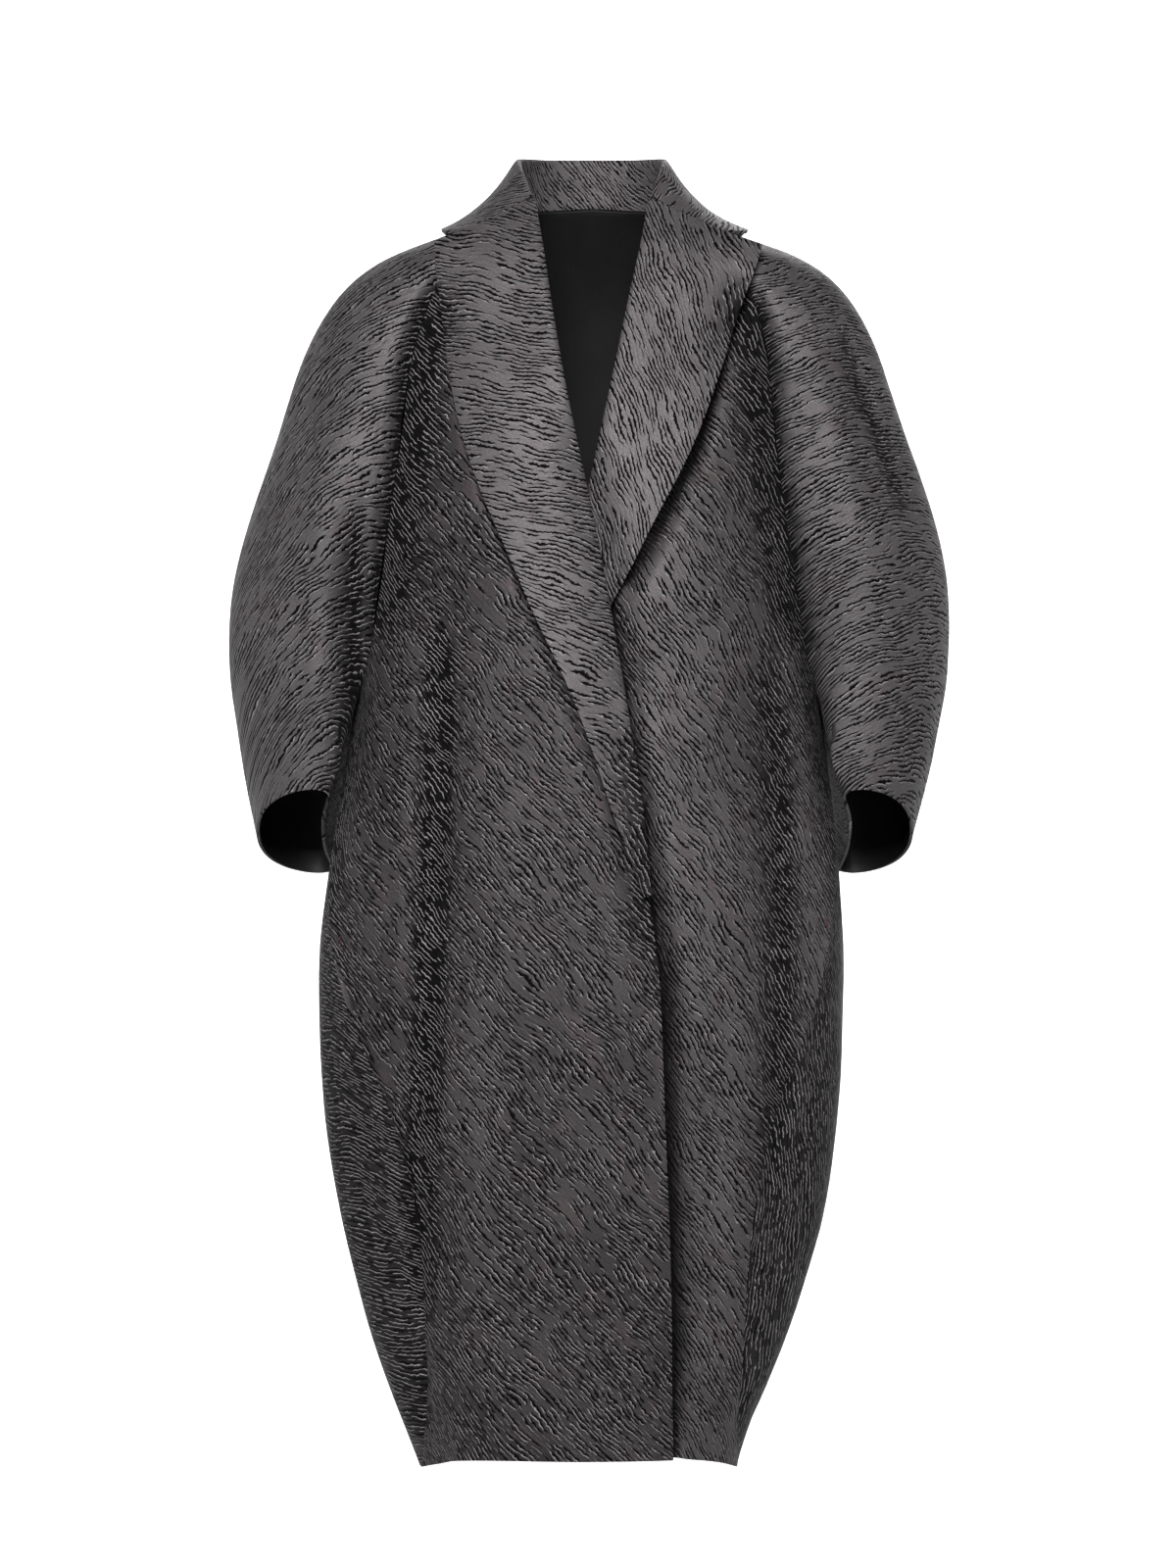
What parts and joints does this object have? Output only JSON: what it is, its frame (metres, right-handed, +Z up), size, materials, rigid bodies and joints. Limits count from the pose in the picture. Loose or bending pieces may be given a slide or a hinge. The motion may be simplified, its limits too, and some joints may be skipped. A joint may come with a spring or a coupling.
{
  "type": "cape coat",
  "caption": "Cocoon-shaped cape coat in blistered grey cloth, with deep raglan three-quarter sleeves, long lapels, a turn-down collar and a lapped front, kept in its worn hollow form.",
  "frame": {"origin": "inside the coat at the base of the neck, level with the shoulder line, where the wearer's shoulders carry it", "axes": "+Z up along the coat's length, -Y the front, +X the wearer's left"},
  "size_m": [0.5888, 0.3879, 1.0729],
  "materials": {
    "coat_cloth": "satin grey ground with raised black bark-like streaks",
    "lapel_cloth": "the same cloth, turned to catch more light",
    "pocket_lining": "matt black lining"
  },
  "bodies": {
    "root": {"back": "coat_cloth", "front_right": "coat_cloth", "front_left": "coat_cloth", "sleeve_right": "coat_cloth", "sleeve_left": "coat_cloth", "lapel_right": "lapel_cloth", "lapel_left": "lapel_cloth", "collar": "lapel_cloth", "pocket_right": "pocket_lining", "pocket_left": "pocket_lining"}
  },
  "joints": []
}
